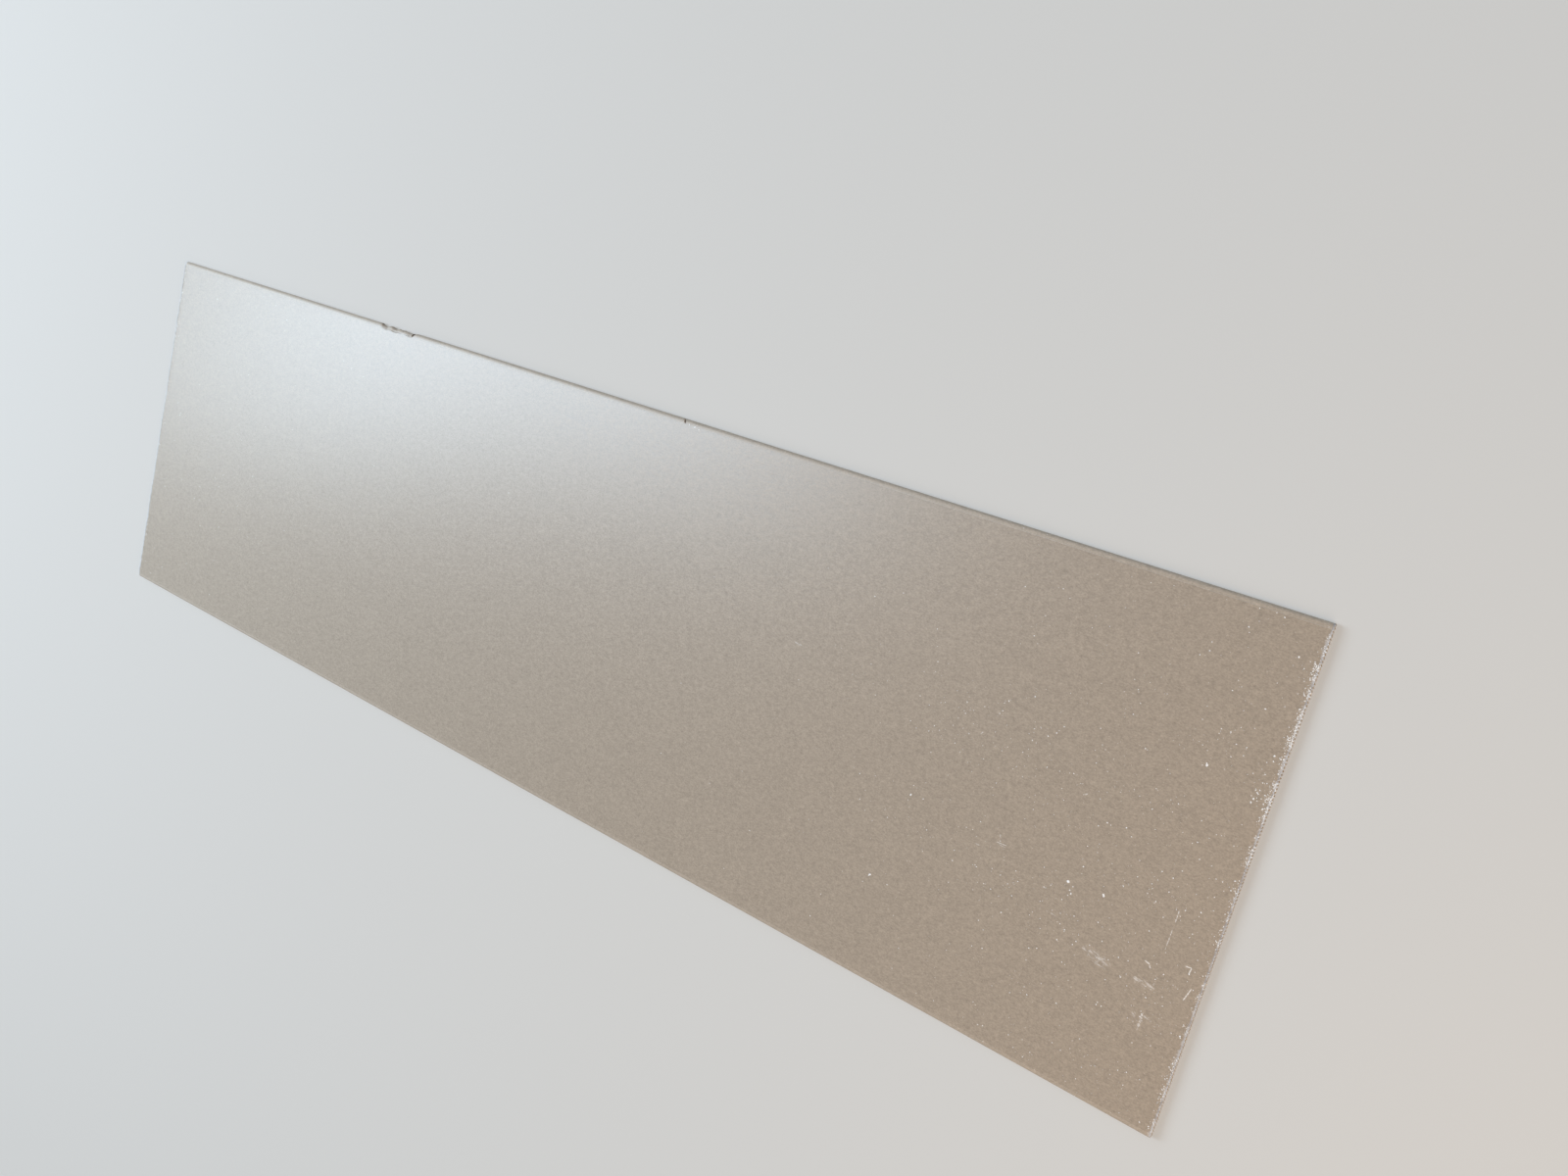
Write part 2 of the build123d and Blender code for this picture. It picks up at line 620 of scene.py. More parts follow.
def grow(name, tree, values):
    """A plain mesh object made by a Geometry Nodes tree with these input values."""
    carrier = bpy.data.objects.new(name + "_carrier", bpy.data.meshes.new(name + "_carrier"))
    bpy.context.scene.collection.objects.link(carrier)
    modifier = carrier.modifiers.new("nodes", "NODES")
    modifier.node_group = tree
    sockets = {item.name: item.identifier for item in tree.interface.items_tree
               if item.in_out == "INPUT"}
    for label, value in values.items():
        modifier[sockets[label]] = value
    bpy.context.view_layer.update()
    evaluated = carrier.evaluated_get(bpy.context.evaluated_depsgraph_get())
    mesh = bpy.data.meshes.new_from_object(evaluated)
    mesh.name = name
    while None in list(mesh.materials):
        mesh.materials.pop(index=list(mesh.materials).index(None))
    carrier.modifiers.remove(modifier)
    bpy.data.objects.remove(carrier)
    piece = bpy.data.objects.new(name, mesh)
    bpy.context.scene.collection.objects.link(piece)
    print(f"{name}: {len(mesh.vertices)} points, {len(mesh.polygons)} faces")
    return piece


# %% [markdown]
# The body of the sheet follows a rule, so Geometry Nodes make it: start from a finely divided
# cube and say, for each of its points, where on the sheet that point lies. Going across, each row
# of points is as wide as the board is at that height, which gives the half-round edges. Going
# along, points crowd towards the ends, where a triangle wave sets the outline of the teeth. The
# knife presses the upper liner down a little before it cuts, so the last few millimetres dip. On
# the end faces the core is broken back between the two papers, because wet gypsum crumbles under
# the knife and isn't sliced clean.

# %% Tree of the board
def board_tree(name):
    """Geometry Nodes for the toothed board. All lengths are inputs."""
    lengths = ("Length", "Edge Radius", "Flat Half Width", "Liner Half Width", "Liner Step",
               "Tooth Pitch", "Tooth Depth", "Core Relief", "Bruise Depth", "Bruise Reach",
               "End Crowding")
    inputs = {label: "Float" for label in lengths}
    inputs.update({"Stations": "Int", "Columns": "Int", "Rows": "Int"})
    inputs.update({"Liner": "Material", "Core": "Material"})
    tree, given, result = new_group(name, "GeometryNodeTree", inputs, {"Geometry": "Geometry"})
    radius = given["Edge Radius"]
    flat = given["Flat Half Width"]
    cube = wired(tree, "GeometryNodeMeshCube", "Mesh", {
        "Size": (2, 2, 2), "Vertices X": given["Stations"], "Vertices Y": given["Columns"],
        "Vertices Z": given["Rows"]})
    along, across, upward = split(wired(tree, "GeometryNodeInputPosition", 0))
    end_sign = maths("SIGN", along)

    # Height and width: the rows stand at even angles round the half-round edge
    angle = upward * radians(90)
    round_height = (maths("SINE", angle) + 1) * radius
    side = across * (flat + maths("COSINE", angle) * radius)

    # Back liner: the columns next to its edge close up on it, so that its step is crisp
    column_gap = flat / given["Columns"] * 2.1
    past_liner = abs(side) - given["Liner Half Width"]
    near_step = abs(past_liner) < column_gap
    snapped = past_liner * (near_step * -0.92 + 1) + given["Liner Half Width"]
    side = snapped * maths("SIGN", side)
    liner_gain = given["Liner Step"] / radius
    height = round_height * ((past_liner < 0) * liner_gain * 0.5 + 1)

    # Teeth: a triangle wave across the end, with each tooth a little longer or shorter. The ten
    # metres keep the count of teeth positive
    place = joined(end_sign, side)
    phase = maths("FRACT", (side + 10) / given["Tooth Pitch"])
    wear = noise(stretched(place, 3, 1, 1), scale=260, detail=1)
    cut_back = (wear * 0.35 + abs(phase * 2 - 1)) * given["Tooth Depth"]
    end_x = given["Length"] / 2 - cut_back

    # Broken core: only the end faces, and only between the two papers
    on_end = abs(along) > 0.9999
    in_core = ramp(abs(upward), 0.87, 0.62)
    at_end = joined(end_sign, side, height)
    flutes = noise(stretched(at_end, 5, 1, 0.25), scale=420, detail=3, roughness=0.6)
    grains = noise(stretched(at_end, 7, 1, 1), scale=1100, roughness=0.6)
    broken = (flutes + grains * 0.6) * given["Core Relief"] * (on_end * in_core)

    # Stations crowd towards the ends
    from_end = (1 - abs(along)) ** given["End Crowding"] * end_x
    distance = end_x - from_end - broken

    # Pressed paper: the upper half of the section dips towards the cut, deeper in some places
    fade = maths("EXPONENT", from_end / (given["Bruise Reach"] * -1))
    uneven = noise(stretched(place, 9, 1, 1), scale=130, roughness=0.6)
    dip = fade * ramp(uneven, 0.3, 0.7, 0.5, 1.5) * given["Bruise Depth"] * larger(upward, 0)
    position = joined(distance * end_sign, side, height - dip)

    # How deep each point lies under the paper, and which faces are cut ones
    from_axis = joined(larger(abs(side) - flat, 0), round_height - radius)
    depth = radius - vectors("LENGTH", from_axis)
    marked = cube
    for label, domain, value in (("cut_face", "FACE", on_end), ("skin_depth", "POINT", depth)):
        marked = wired(tree, "GeometryNodeStoreNamedAttribute", "Geometry",
                       {"Geometry": marked, "Name": label, "Value": value},
                       data_type="FLOAT", domain=domain)
    shaped = wired(tree, "GeometryNodeSetPosition", 0, {"Geometry": marked, "Position": position})
    finish_tree(shaped, result["Geometry"], given["Liner"], cut_material=given["Core"])
    return tree


# %% Board
board = grow("sheet_body", board_tree("toothed_board"), {
    "Length": sheet_length, "Edge Radius": edge_radius, "Flat Half Width": flat_half_width,
    "Liner Half Width": liner_half_width, "Liner Step": liner_step, "Tooth Pitch": tooth_pitch,
    "Tooth Depth": tooth_depth, "Core Relief": 0.5 * mm, "Bruise Depth": 0.35 * mm,
    "Bruise Reach": 1.6 * mm, "End Crowding": 4.0, "Stations": 29, "Columns": 901, "Rows": 13,
    "Liner": liner, "Core": core})

# %% [markdown]
# The far long edge took a knock near its left end. Over some nine centimetres it is crushed in
# and down by up to three millimetres, the paper is wrinkled, and at the right-hand end of the dent
# it has torn through. Further right a corner of something dug out a small pit.
# Sculpting would do, but it leaves nothing to read. Here the mesh is first sliced finely, only
# where it is needed, and then each point moves by a sum of a few named blows. A blow has a place
# along the edge, a half length, and how far it pushes inwards and downwards. Right of the tear a
# flap of paper came loose, and it keeps its old height while the board beside it sinks.

# %% Finer mesh at the damage
edge_y = sheet_width / 2
worked_depth = 13 * mm
fine_step = 0.5 * mm
dent_start = -467 * mm
dent_end = -364 * mm
pit_reach = 9 * mm
tear = {"foot": on_sheet((419.8, 343.3)), "mouth": on_sheet((423.9, 338.9))}
pit = {"foot": on_sheet((699.2, 431.6)), "mouth": on_sheet((698.7, 428.2))}


def is_worked(vert):
    """Whether a point lies on the part of the far long edge that may be reshaped."""
    return vert.co.y > edge_y - worked_depth and vert.co.z > 1 * mm


def with_parts(faces):
    """Faces together with their edges and corners, as the bmesh tools want them."""
    parts = set(faces)
    for face in faces:
        parts.update(face.edges)
        parts.update(face.verts)
    return list(parts)


def refine(shape, start_x, end_x):
    """Slices the far long edge crosswise at even steps between two places, and nothing else."""
    parts = with_parts([face for face in shape.faces
                        if all(vert.co.y > edge_y - worked_depth for vert in face.verts)
                        and min(vert.co.x for vert in face.verts) < end_x
                        and max(vert.co.x for vert in face.verts) > start_x])
    for step in range(round((end_x - start_x) / fine_step) + 1):
        sliced = bmesh.ops.bisect_plane(shape, geom=parts, plane_no=(1, 0, 0),
                                        plane_co=(start_x + step * fine_step, 0, 0))
        parts = sliced["geom"]


def halve(shape, middle, reach):
    """Cuts each face near a place into four, for the smallest shapes."""
    edges = [edge for edge in shape.edges
             if all(abs(vert.co.x - middle.x) < reach and vert.co.y > middle.y - reach
                    and vert.co.z > 2.5 * mm for vert in edge.verts)]
    bmesh.ops.subdivide_edges(shape, edges=edges, cuts=1, use_grid_fill=True)


shape = bmesh.new()
shape.from_mesh(board.data)
refine(shape, dent_start, dent_end)
refine(shape, pit["foot"].x - pit_reach, pit["foot"].x + pit_reach)
halve(shape, tear["mouth"].lerp(tear["foot"], 0.5), reach=8 * mm)
halve(shape, pit["foot"], reach=4 * mm)
print("after refining:", len(shape.verts), "points")

# %% Blows on the far long edge
blows = {
    "left_wrinkle": (-448 * mm, 11 * mm, 2.9 * mm, 2.4 * mm),
    "second_wrinkle": (-424 * mm, 8 * mm, 1.6 * mm, 1.6 * mm),
    "long_press": (-412 * mm, 46 * mm, 0.9 * mm, 0.9 * mm),
    "torn_side": (-389 * mm, 14 * mm, 1.7 * mm, 1.7 * mm),
}
crease = {"x": -428 * mm, "half_length": 24 * mm, "from_edge": 6.2 * mm, "half_width": 1.6 * mm,
          "depth": 0.45 * mm}
grip_reach = 10 * mm
crumple = 0.7 * mm
fold_scale = Vector((210, 70, 70))
wrinkle_scale = Vector((620, 160, 160))
wrinkle_share = 0.45
flap_middle = on_sheet((424.3, 343.0))
flap_reach = 4.5 * mm


def bell(distance, half_length):
    """1 in the middle, falling smoothly to 0 at a half length away."""
    share = min(abs(distance) / half_length, 1.0)
    return (1 - share * share) ** 2


def knocked_in(point):
    """Where a point of the far long edge goes under all the blows."""
    from_edge = edge_y - point.y
    grip = max(0.0, 1 - from_edge / grip_reach) ** 1.5
    raised = (point.z / sheet_thickness) ** 2
    inward = downward = 0.0
    for place, half_length, push, press in blows.values():
        force = bell(point.x - place, half_length)
        inward += push * force
        downward += press * force
    felt = min((inward + downward) / mm, 1.0) * crumple
    folds = solid_noise.noise(point * fold_scale) * felt
    wrinkles = solid_noise.noise(point * wrinkle_scale) * felt * wrinkle_share
    dip = bell(from_edge - crease["from_edge"], crease["half_width"]) * crease["depth"]
    dip *= bell(point.x - crease["x"], crease["half_length"])
    held = 1 - bell((point - flap_middle).xy.length, flap_reach)
    moved_y = point.y - grip * max(inward + folds, 0.0) * held
    sunk = (grip * max(downward + folds + wrinkles, 0.0) + dip) * held
    return Vector((point.x, moved_y, point.z - raised * sunk))


for vert in shape.verts:
    if dent_start < vert.co.x < dent_end and vert.co.y > edge_y - worked_depth:
        vert.co = knocked_in(vert.co)

# %% [markdown]
# The tear is a narrow slit from the edge inwards, a few millimetres deep, and the pit is a small
# nick in the same edge. Both are wedges that open outwards. Planes that follow the wedge's walls cut
# the mesh first, so that the rim and the foot of each wall run along real edges, and then the points
# inside are pushed down. The torn rim of the liner stands up a little beside the slit. Torn paper folds
# into it, so its walls stay liner. The pit has lost its paper, so the points that sank there are
# remembered and their faces show the core.

# %% Wedges cut into the edge
foot_share = 0.45
wall_share = 0.3
rim_reach = 1 * mm
rag_scale = 900
rag_swing = 0.5 * mm


def wedge_place(point, start, end):
    """How far a point is along a wedge, from 0 to 1 at its mouth, and how far beside its middle."""
    run = (end - start).xy
    offset = (point - start).xy
    return offset.dot(run) / run.dot(run), abs(offset.x * run.y - offset.y * run.x) / run.length


def cut_through(shape, place, normal, middle, reach):
    """Cuts the worked faces near a place along a plane, so that edges follow it."""
    near = [face for face in shape.faces
            if (face.calc_center_median() - middle).xy.length < reach
            and all(is_worked(vert) for vert in face.verts)]
    bmesh.ops.bisect_plane(shape, geom=with_parts(near), dist=0.01 * mm, plane_co=place,
                           plane_no=normal)


def slit(shape, start, end, half_width, depth, lip):
    """Opens a wedge from its start out to the edge, with a raised lip. Gives the points that sank."""
    run = end - start
    aside = Vector((-run.y, run.x, 0)).normalized()
    for along in (0.0, 0.1):
        cut_through(shape, start + run * along, run, start, run.length)
    for slope in (-1.0, wall_share - 1, 1 - wall_share, 1.0):
        foot_side = start + aside * slope * half_width * foot_share
        wall = end + aside * slope * half_width - foot_side
        cut_through(shape, foot_side, (-wall.y, wall.x, 0), start, run.length + 3 * mm)
    sunk = set()
    for vert in shape.verts:
        along, beside = wedge_place(vert.co, start, end)
        if not -0.5 < along < 2 or beside > half_width * 3 or not is_worked(vert):
            continue
        opening = half_width * (foot_share + (1 - foot_share) * along)
        inside = opening - beside
        raised = vert.co.z / sheet_thickness
        if inside > 0.02 * mm and along > 0.002:
            fall = min(1.0, inside / (wall_share * opening)) * min(1.0, along * 10)
            vert.co.z -= depth * fall * raised
            sunk.add(vert)
        else:
            gap = Vector((max(-along, 0.0) * run.length, max(-inside, 0.0))).length
            vert.co.z += lip * bell(gap, rim_reach) * raised
        ragged = solid_noise.noise(vert.co * rag_scale) * rag_swing
        vert.co += aside * ragged * bell(inside, rim_reach)
    return sunk


# %% Tear and pit
crisp_angle = radians(38)
# The tear's walls stay liner, and its dark stroke paints shade on them
slit(shape, tear["foot"], tear["mouth"], half_width=2.2 * mm, depth=6.5 * mm, lip=0.4 * mm)
dug = slit(shape, pit["foot"], pit["mouth"], half_width=1.5 * mm, depth=2.6 * mm, lip=0.15 * mm)
bmesh.ops.recalc_face_normals(shape, faces=shape.faces)
liner_slot = board.data.materials.find(liner.name)
core_slot = board.data.materials.find(core.name)
bared = [face for face in shape.faces
         if face.material_index == liner_slot and all(vert in dug for vert in face.verts)]
for face in bared:
    face.material_index = core_slot
shape.to_mesh(board.data)
shape.free()
board.data.shade_smooth()
board.data.set_sharp_from_angle(angle=crisp_angle)
triangles = sum(len(face.vertices) - 2 for face in board.data.polygons)
print(len(bared), "bared faces,", triangles, "triangles, materials", board.data.materials.keys())

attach(board, "root")
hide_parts("drywall_sheet")

# %% [markdown]
# Gypsum grit sticks to the cut ends, to the paper beside them, and thinly over the rest of the
# face. These are thousands of like grains, so one tree scatters them over the real surface of the
# board, end faces and dips included. Each grain is one of four lumpy stones of twenty faces.
# It is flattened and half sunk, so that it lies on the paper and doesn't float on it.

# %% Grains and their places
grain_kinds = 4
grain_bumpiness = 0.9


def grain_shape(tree, number):
    """One lumpy grain of unit radius: a small icosphere pushed in and out by noise."""
    ball = wired(tree, "GeometryNodeMeshIcoSphere", "Mesh", {"Subdivisions": 1})
    position = wired(tree, "GeometryNodeInputPosition", 0)
    lumps = noise(vectors("ADD", position, (number * 7.3, 0, 0)), scale=1.3)
    lumpy = wired(tree, "GeometryNodeSetPosition", 0, {
        "Geometry": ball, "Offset": scaled(position, swing(lumps, grain_bumpiness * 2))})
    return wired(tree, "GeometryNodeGeometryToInstance", 0, {0: lumpy})


def random_value(low_value, high_value, seed, salt):
    """A random number for each point. The salt keeps one draw apart from the next."""
    return wired(seed.tree, "FunctionNodeRandomValue", 1,
                 {2: low_value, 3: high_value, "Seed": seed + salt}, data_type="FLOAT")


def spread_on(board_input, density, seed):
    """Random points on the board's surface, and rotations that turn Z to its normal."""
    surface = wired(seed.tree, "GeometryNodeObjectInfo", "Geometry", {"Object": board_input})
    points = wires(add_node(seed.tree, "GeometryNodeDistributePointsOnFaces",
                            {"Mesh": surface, "Density": density, "Seed": seed}).outputs)
    return points["Points"], points["Rotation"]


def turned_rotation(rotation, angles):
    """A rotation followed by turns about its own axes."""
    turn = wired(rotation.tree, "FunctionNodeEulerToRotation", 0, {0: angles})
    return wired(rotation.tree, "FunctionNodeRotateRotation", 0,
                 {"Rotation": rotation, "Rotate By": turn}, rotation_space="LOCAL")


def on_points(points, instances, rotation, scale, kind=None):
    """Instances on points, one kind for all or a picked one for each."""
    inputs = {"Points": points, "Instance": instances, "Rotation": rotation, "Scale": scale}
    if kind:
        inputs.update({"Pick Instance": True, "Instance Index": kind})
    return wired(points.tree, "GeometryNodeInstanceOnPoints", 0, inputs)


# %% Tree of the grit
def grit_tree(name):
    """Geometry Nodes that scatter flattened grains over a board."""
    numbers = ("Half Length", "Density On Paper", "Density On Cut", "Reach", "Smallest", "Largest",
               "Flatness", "Patch Size", "Thick At", "Thick Reach", "Thin Share")
    inputs = {"Board": "Object", "Seed": "Int", "Material": "Material"}
    inputs.update({label: "Float" for label in numbers})
    tree, given, result = new_group(name, "GeometryNodeTree", inputs, {"Geometry": "Geometry"})
    seed = given["Seed"]
    position = wired(tree, "GeometryNodeInputPosition", 0)
    along, across, height = split(position)

    # Density falls off from the cut ends, comes in patches, and is nil under the sheet
    near_end = ramp(given["Half Length"] - abs(along), given["Reach"], 0) ** 2
    patches = noise(position, scale=1 / given["Patch Size"], detail=3, roughness=0.6)
    patches = ramp(patches, 0.40, 0.68, 0.08, 1)
    thick = ramp(abs(across - given["Thick At"]), given["Thick Reach"], 0, given["Thin Share"], 1)
    thick = larger(thick * (along > 0), given["Thin Share"])
    cut = stored(tree, "cut_face", 0.5)
    on_paper = (1 - cut) * (height > edge_radius) * near_end * given["Density On Paper"]
    density = (on_paper + cut * given["Density On Cut"]) * (patches * thick)
    points, rotation = spread_on(given["Board"], density, seed)

    # Many small grains and few large ones
    draw = random_value(0, 1, seed, salt=1) ** 3
    size = draw * (given["Largest"] - given["Smallest"]) + given["Smallest"]
    longer = random_value(0.8, 1.7, seed, salt=2)
    scale = joined(size * longer, size, size * given["Flatness"])
    grains = add_node(tree, "GeometryNodeJoinGeometry")
    for number in range(grain_kinds):
        feed(grains.inputs[0], grain_shape(tree, number))
    spin = joined(0, 0, random_value(0, radians(360), seed, salt=3))
    kind = maths("FLOOR", random_value(0, grain_kinds - 0.01, seed, salt=4))
    placed = on_points(points, Wire(grains.outputs[0]), turned_rotation(rotation, spin), scale, kind)
    finish_tree(placed, result["Geometry"], given["Material"])
    return tree


# %% Material: gypsum grit
grit_shade = (0.78, 0.76, 0.73, 1)
grit_white = (0.90, 0.89, 0.88, 1)


def grit_material():
    """Loose gypsum: as the core, but whiter, because each grain is freshly broken."""
    material, tree, surface = new_material("grit_finish")
    position = object_position(tree)
    shade = ramp(noise(position, scale=900), 0.35, 0.65)
    feed(surface["Base Color"], blended(shade, grit_shade, grit_white))
    feed(surface["Roughness"], 0.9)
    feed(surface["Normal"], bump(swing(noise(position, scale=3000), 0.1 * mm)))
    return material


grit = grit_material()
scattered = grit_tree("scattered_grit")
end_grit = grow("end_grit", scattered, {
    "Board": board, "Seed": 4, "Material": grit, "Half Length": sheet_length / 2,
    "Density On Paper": 3400000.0, "Density On Cut": 420000.0, "Reach": 9 * mm,
    "Smallest": 0.17 * mm, "Largest": 0.8 * mm, "Flatness": 0.34, "Patch Size": 22 * mm,
    "Thick At": 0.17, "Thick Reach": 0.2, "Thin Share": 0.25})
face_grit = grow("face_grit", scattered, {
    "Board": board, "Seed": 11, "Material": grit, "Half Length": sheet_length / 2,
    "Density On Paper": 26000.0, "Density On Cut": 0.0, "Reach": 0.80,
    "Smallest": 0.24 * mm, "Largest": 0.75 * mm, "Flatness": 0.34, "Patch Size": 60 * mm,
    "Thick At": -0.05, "Thick Reach": 0.4, "Thin Share": 0.12})
for piece in (end_grit, face_grit):
    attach(piece, "root")

# %% [markdown]
# The larger crumbs on the face are single things with a place of their own, so a list holds them:
# the pixel where each lies, how long it is in millimetres, and how many crumbs lie together. One
# mesh takes them all. A fixed seed draws their outlines, so every run gives the same crumbs.

# %% Crumbs on the upper face
crumbs = [
    ((1029.6, 715.4), 1.6, 1), ((1025, 717.4), 1.0, 1), ((1016.6, 799), 1.0, 1),
    ((929.4, 811), 2.2, 1), ((1000.6, 838.4), 1.0, 1), ((992.6, 846.4), 1.2, 1),
    ((887.6, 892.4), 2.6, 3), ((1130, 839.6), 1.4, 1), ((1133.6, 842), 1.0, 1),
    ((1222, 859.6), 1.3, 1), ((1234, 855.4), 0.9, 1), ((1207, 849.4), 0.8, 1),
    ((1105.4, 884.4), 1.5, 1), ((1090, 899.6), 2.8, 1), ((1091.6, 908.4), 1.5, 1),
    ((1092.8, 912), 1.9, 1), ((1126.4, 914.4), 2.6, 2), ((1241, 897), 1.1, 1),
    ((1247.6, 900), 1.2, 1), ((1179.4, 920), 1.5, 2), ((1171, 911.6), 1.0, 3),
    ((1187, 936), 1.0, 2), ((1204.4, 935), 1.0, 1), ((1172.6, 950), 1.3, 1),
    ((1124.6, 960.4), 1.4, 1), ((1189.4, 972), 1.0, 1), ((1143.4, 997), 1.6, 1),
    ((1149, 994), 1.0, 1), ((1187.4, 994.4), 1.5, 1), ((1213.4, 994.2), 1.6, 1),
    ((1090, 1000.4), 1.0, 1), ((1118.4, 1025), 1.4, 1), ((1101.6, 1060), 1.0, 1),
    ((1165, 1035), 1.5, 2), ((1155, 1064), 1.2, 1), ((1174, 1067), 1.2, 1),
    ((1208, 1047), 1.1, 1), ((1204, 1057.6), 1.6, 2), ((1325.6, 670.6), 1.9, 1),
    ((1224.4, 668), 1.1, 1), ((1257.6, 704.6), 1.3, 1), ((1232, 720.6), 0.9, 1),
    ((1291, 723.4), 1.2, 2), ((1280.4, 743.2), 1.1, 1), ((1256, 747), 1.2, 3),
    ((1244, 748.4), 0.9, 2), ((1261.6, 759.4), 1.1, 1), ((1300.6, 771.6), 1.8, 1),
    ((1291, 790.4), 1.3, 1), ((1231.6, 781), 2.6, 2), ((1227, 780.6), 0.9, 1),
    ((1283, 809), 1.6, 5), ((1279, 815), 1.8, 5), ((1276.5, 818.5), 1.6, 2),
    ((1342.5, 678), 1.4, 3), ((1337, 694), 1.3, 3), ((703.6, 433.4), 1.8, 1),
    ((708.5, 436.2), 1.9, 2), ((713, 438.6), 1.2, 1), ((519, 503), 1.2, 1), ((511, 582), 1.0, 1),
]
crumb_growth = 1.6
crumb_flatness = 0.2
crumb_drift = 2.2
crumb_random = Random(29)


def add_crumb(mesh, place, length):
    """Adds a flat broken crumb that lies on the paper."""
    made = bmesh.ops.create_icosphere(mesh, subdivisions=1, radius=length / 2)["verts"]
    flat = min(crumb_flatness, loose_height / length)
    turn = Matrix.Rotation(crumb_random.uniform(0, radians(360)), 3, "Z")
    narrow = crumb_random.uniform(0.6, 0.95)
    for vert in made:
        broken = vert.co * crumb_random.uniform(0.75, 1.0)
        vert.co = turn @ Vector((broken.x, broken.y * narrow, broken.z * flat)) + place


crumb_mesh = bmesh.new()
for pixel, length, count in crumbs:
    for number in range(count):
        drift = Vector((crumb_random.gauss(0, crumb_drift), crumb_random.gauss(0, crumb_drift), 0))
        share = crumb_random.uniform(0.4, 0.9) if number else 1.0
        place = on_sheet(pixel) + drift * mm * (number > 0)
        add_crumb(crumb_mesh, place, length * crumb_growth * share * mm)
bmesh.ops.recalc_face_normals(crumb_mesh, faces=crumb_mesh.faces)
lying = bpy.data.meshes.new("face_crumbs")
crumb_mesh.to_mesh(lying)
crumb_mesh.free()
lying.materials.append(grit)
face_crumbs = bpy.data.objects.new("face_crumbs", lying)
bpy.context.scene.collection.objects.link(face_crumbs)
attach(face_crumbs, "root")
print("face_crumbs:", len(lying.polygons), "faces")

# %% [markdown]
# The knife tears the papers and doesn't cut them clean, so a fringe of short fibres stands out
# along both rims of each end. Each is a curved hair of triangular section, about a millimetre
# long. A tree puts them where the board is freshly cut and close under its skin.

# %% Tree of the torn fibres
widest_tilt = 0.9


def fringe_tree(name):
    """Geometry Nodes for short torn fibres along the paper rims of the cut ends."""
    numbers = ("Density", "Rim Depth", "Shortest", "Longest", "Fibre Radius")
    inputs = {"Board": "Object", "Seed": "Int", "Material": "Material"}
    inputs.update({label: "Float" for label in numbers})
    tree, given, result = new_group(name, "GeometryNodeTree", inputs, {"Geometry": "Geometry"})
    seed = given["Seed"]
    at_rim = 1 - stored(tree, "skin_depth", given["Rim Depth"])
    density = at_rim * stored(tree, "cut_face", 0.5) * given["Density"]
    points, rotation = spread_on(given["Board"], density, seed)
    hair = wired(tree, "GeometryNodeCurveQuadraticBezier", "Curve", {
        "Resolution": 3, "Start": (0, 0, -0.1), "Middle": (0.05, 0, 0.6), "End": (0.6, 0, 1)})
    section = wired(tree, "GeometryNodeCurvePrimitiveCircle", "Curve",
                    {"Resolution": 3, "Radius": given["Fibre Radius"]})
    solid = wired(tree, "GeometryNodeCurveToMesh", 0,
                  {"Curve": hair, "Profile Curve": section, "Fill Caps": True})
    angles = joined(random_value(-widest_tilt, widest_tilt, seed, salt=1),
                    random_value(-widest_tilt, widest_tilt, seed, salt=2),
                    random_value(0, radians(360), seed, salt=3))
    length = random_value(given["Shortest"], given["Longest"], seed, salt=4)
    placed = on_points(points, solid, turned_rotation(rotation, angles),
                       joined(length, length, length))
    finish_tree(placed, result["Geometry"], given["Material"])
    return tree


# %% Material: torn fibre
fibre_brown = (0.36, 0.28, 0.21, 1)
fibre_white = (0.62, 0.56, 0.50, 1)


def fibre_material():
    """Loose paper fibre: the raw colour of the liner, from brown to nearly white."""
    material, tree, surface = new_material("fibre_finish")
    shade = ramp(noise(object_position(tree), scale=700, detail=1), 0.35, 0.65)
    feed(surface["Base Color"], blended(shade, fibre_brown, fibre_white))
    feed(surface["Roughness"], 0.8)
    return material


torn_fibres = grow("torn_fibres", fringe_tree("torn_fringe"), {
    "Board": board, "Seed": 7, "Material": fibre_material(), "Density": 700000.0,
    "Rim Depth": 0.25 * mm, "Shortest": 0.5 * mm, "Longest": 1.5 * mm, "Fibre Radius": 0.045})
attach(torn_fibres, "root")

# %% [markdown]
# The sheet lies on a plain pale floor. To the camera, and in glossy reflections, part of its grey is
# a glow of its own, so that it stays even where the lamps are far, and the shadows of the sheet
# still show on it. The world behind is nearly the same grey, and only a small share of it lights the
# sheet, so that no pale surface clips.

# %% Floor and world
floor_half = 4.5
floor_gap = 0.5 * mm
floor_lit = (0.50, 0.48, 0.45, 1)
floor_seen = (0.26, 0.25, 0.235, 1)
floor_glow = (0.35, 0.345, 0.335, 1)
sky_grey = (0.66, 0.66, 0.66, 1)
sky_light_share = 0.15

floor_mesh = bpy.data.meshes.new("floor")
floor_corners = [(x * floor_half, y * floor_half, -floor_gap)
                 for x, y in ((-1, -1), (1, -1), (1, 1), (-1, 1))]
floor_mesh.from_pydata(floor_corners, [], [(0, 1, 2, 3)])
floor = bpy.data.objects.new("floor", floor_mesh)
bpy.context.scene.collection.objects.link(floor)


def seen_directly(tree):
    """1 for the camera and for glossy and transmission rays, 0 for light that spreads about."""
    ray = wires(add_node(tree, "ShaderNodeLightPath").outputs)
    return larger(ray["Is Camera Ray"], ray["Is Glossy Ray"], ray["Is Transmission Ray"])


floor_paint, floor_tree, floor_surface = new_material("floor")
floor_mesh.materials.append(floor_paint)
seen = seen_directly(floor_tree)
feed(floor_surface["Base Color"], blended(seen, floor_lit, floor_seen))
feed(floor_surface["Roughness"], 0.9)
feed(floor_surface["Emission Color"], floor_glow)
feed(floor_surface["Emission Strength"], seen)

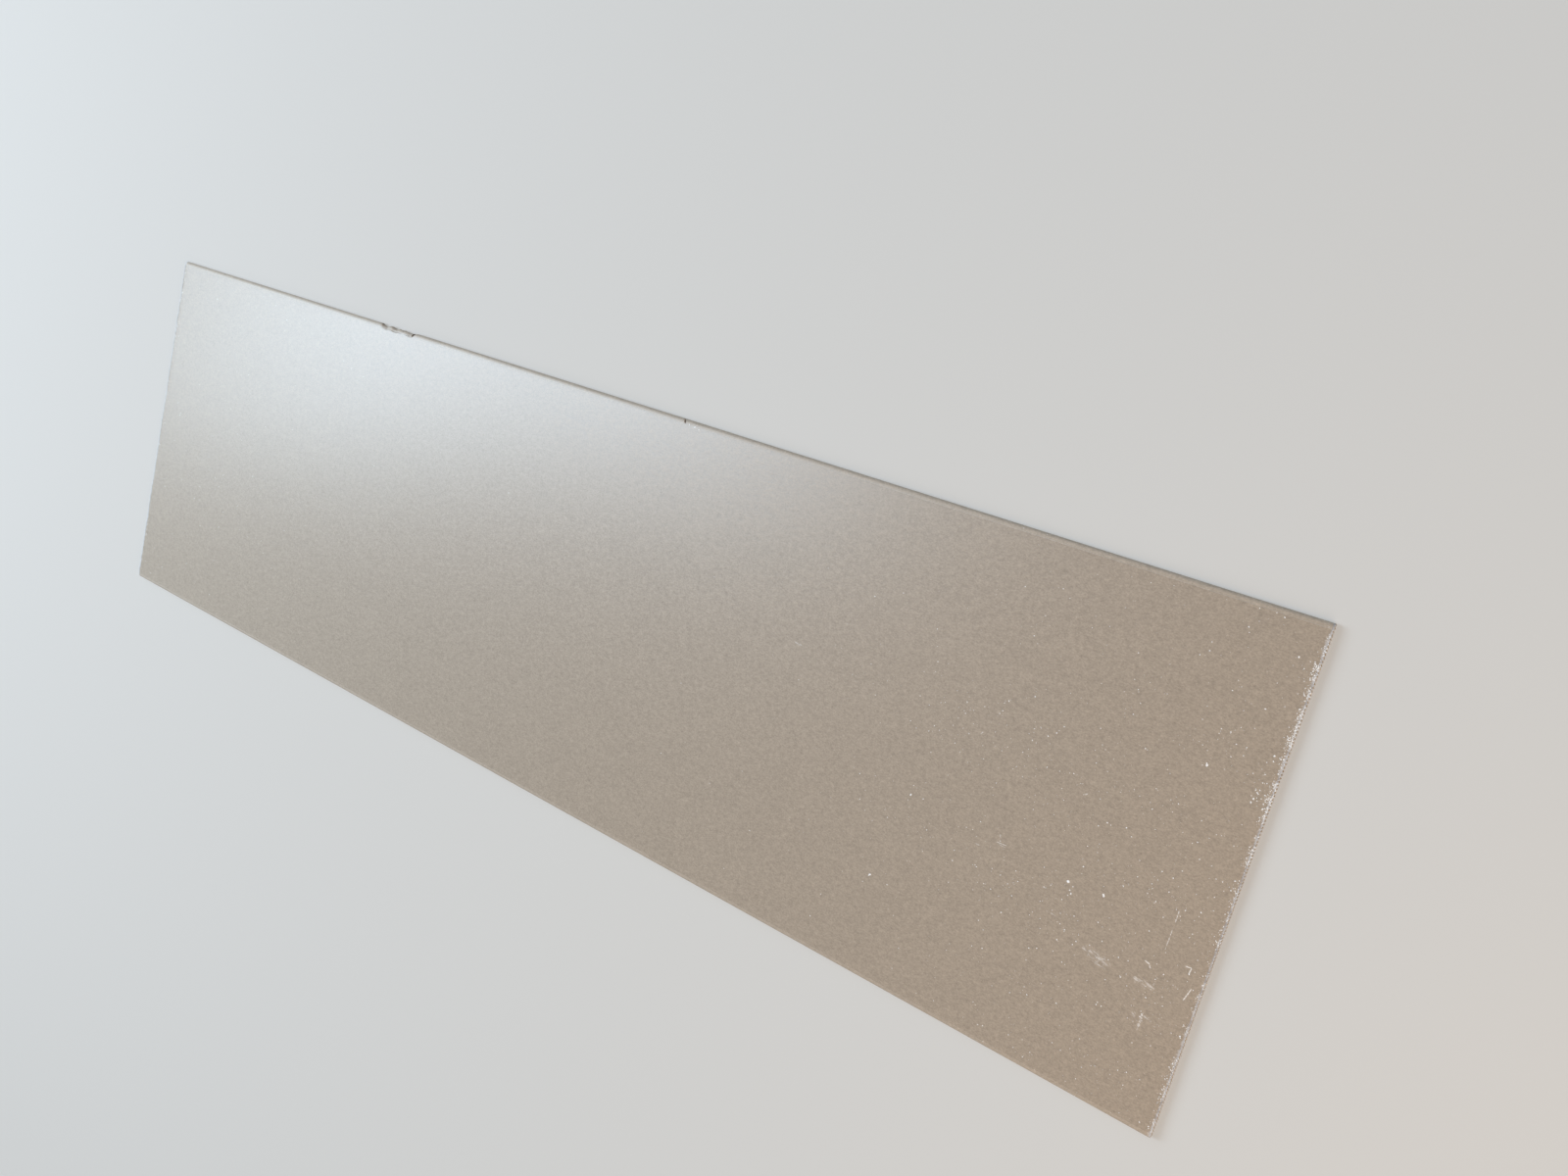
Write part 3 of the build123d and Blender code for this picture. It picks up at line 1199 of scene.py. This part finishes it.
world = bpy.data.worlds.new("world")
bpy.context.scene.world = world
world.use_nodes = True
sky = world.node_tree.nodes["Background"]
seen = seen_directly(world.node_tree)
feed(sky.inputs["Color"], sky_grey)
feed(sky.inputs["Strength"], seen * (1 - sky_light_share) + sky_light_share)

# %% [markdown]
# The photograph's light is daylight from a tall strip of windows beyond the left end. Seen low over
# the paper it leaves a cool sheen that runs down the far edge and fades to the right. Four soft
# lamps stacked on an arc stand for that strip, and a fifth lights the round far edge. A weak warm
# lamp stands for the light that bounces near the right end, and a broad fill keeps the near edge and
# the right end face out of the dark. Their powers started from one trial picture for each lamp
# alone, weighed so that they add up to the tones of the photograph. The last changes were made one by
# one.

# %% Lamps
window_blue = (0.67, 0.82, 0.97)
window_lamps = {
    "window_low": (178, 34, 6, (2.4, 1.6), 114),
    "window_middle": (174, 44, 5, (1.8, 1.6), 82),
    "window_high": (170, 57, 5, (1.8, 1.6), 120),
    "window_top": (162, 69, 5, (1.8, 1.6), 21),
    "window_far_side": (130, 32, 6, (5.0, 3.0), 99),
}
bounce_orange = (1.0, 0.60, 0.24)
fill_white = (1.0, 0.985, 0.97)


def area_lamp(name, place, size, power, colour, aim=(0, 0, 0)):
    """A soft rectangular lamp that faces a place near the sheet."""
    data = bpy.data.lights.new(name, "AREA")
    data.shape = "RECTANGLE"
    data.size, data.size_y = size
    data.energy = power
    data.color = colour
    lamp = bpy.data.objects.new(name, data)
    lamp.location = place
    lamp.rotation_euler = (Vector(aim) - Vector(place)).to_track_quat("-Z", "Y").to_euler()
    lamp.visible_camera = False
    bpy.context.scene.collection.objects.link(lamp)


def from_middle(azimuth, elevation, distance):
    """A place at this direction, in degrees, and distance from the middle of the sheet."""
    turn = Matrix.Rotation(radians(azimuth), 3, "Z") @ Matrix.Rotation(radians(-elevation), 3, "Y")
    return turn @ Vector((distance, 0, 0))


for name, (azimuth, elevation, distance, size, power) in window_lamps.items():
    area_lamp(name, from_middle(azimuth, elevation, distance), size, power, window_blue)
area_lamp("warm_bounce", (2.2, -0.4, 1.4), (1.0, 0.8), 19, bounce_orange, aim=(-0.6, 0, 0.6))
area_lamp("broad_fill", from_middle(-40, 28, 6), (5.0, 3.0), 96, fill_white)

bpy.context.scene.view_settings.view_transform = "Standard"
